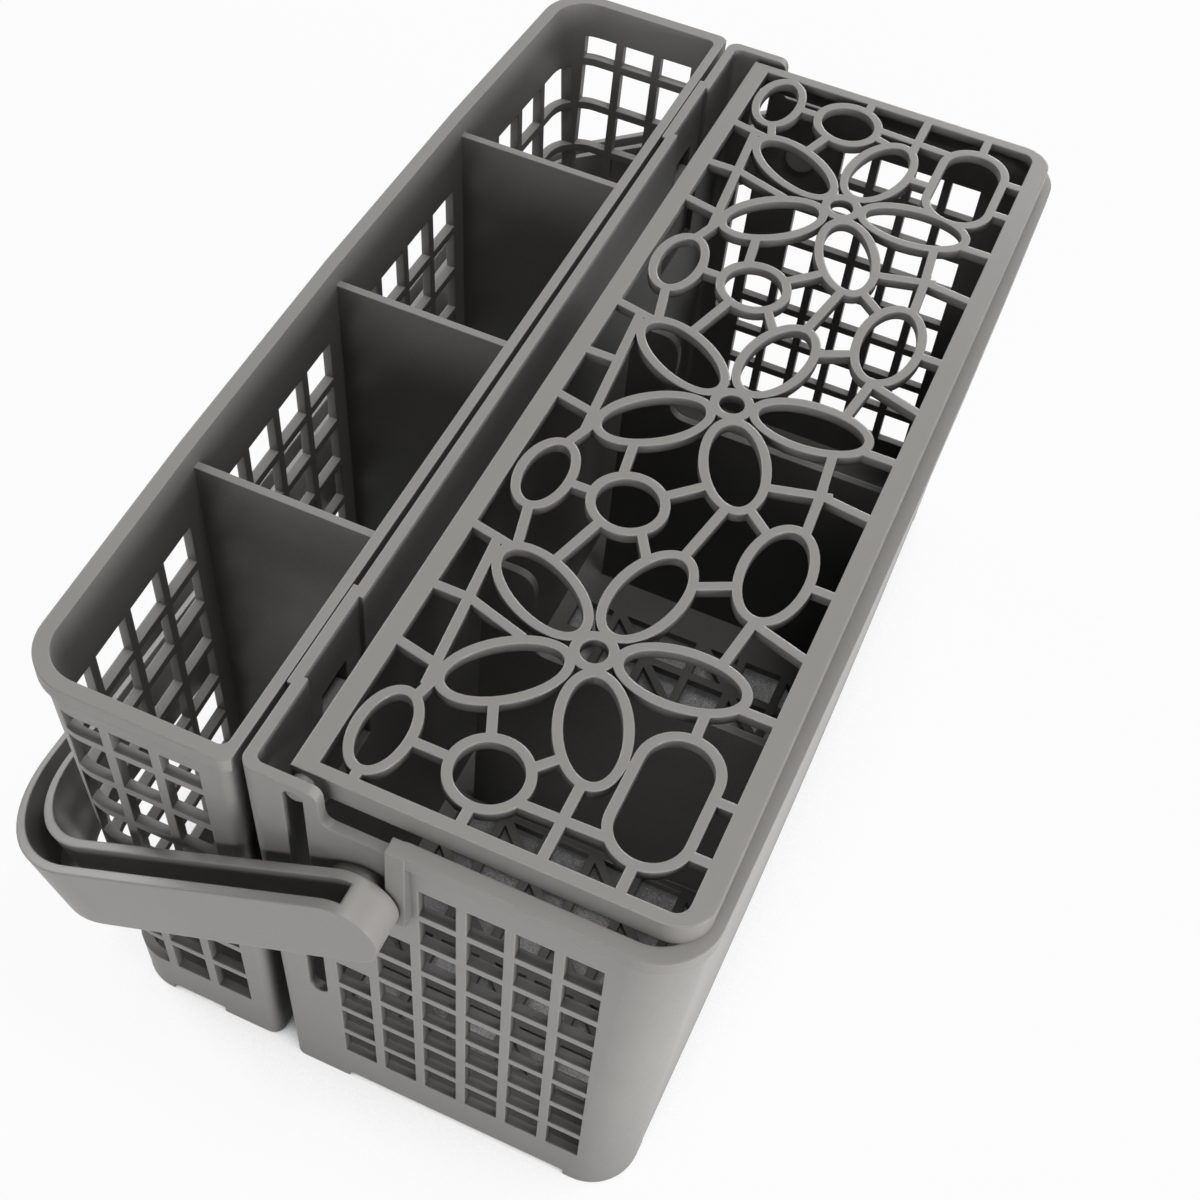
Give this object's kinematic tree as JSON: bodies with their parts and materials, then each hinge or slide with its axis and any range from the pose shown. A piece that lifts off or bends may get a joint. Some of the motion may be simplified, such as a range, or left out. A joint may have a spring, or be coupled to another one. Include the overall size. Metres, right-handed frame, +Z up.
{
  "type": "dishwasher cutlery basket",
  "caption": "Moulded plastic cutlery basket for a dishwasher: a wide basket with an openwork hinged lid, a narrow basket hooked to its side and a swinging handle.",
  "frame": {"origin": "bottom centre of the bounding box with the handle folded down and the lid closed; the feet stand on z = 0", "axes": "+Z up, +Y along the baskets' length, +X from the narrow basket towards the wide one's outer wall"},
  "size_m": [0.1514, 0.2602, 0.122],
  "materials": {
    "grey_plastic": "satin moulded, warm grey"
  },
  "bodies": {
    "baskets": {"main_basket": "grey_plastic", "side_basket": "grey_plastic"},
    "lid": {"lid": "grey_plastic"},
    "handle": {"handle": "grey_plastic"}
  },
  "joints": [
    {"name": "lid_hinge", "type": "hinge", "parent": "baskets", "child": "lid", "pos_m": [-0.0016, 0, 0.1181], "axis": [0, -1, 0], "range_deg": [0, 100]},
    {"name": "handle_hinge", "type": "hinge", "parent": "baskets", "child": "handle", "pos_m": [0.0117, 0, 0.0972], "axis": [0, 1, 0], "range_deg": [0, 120]}
  ]
}
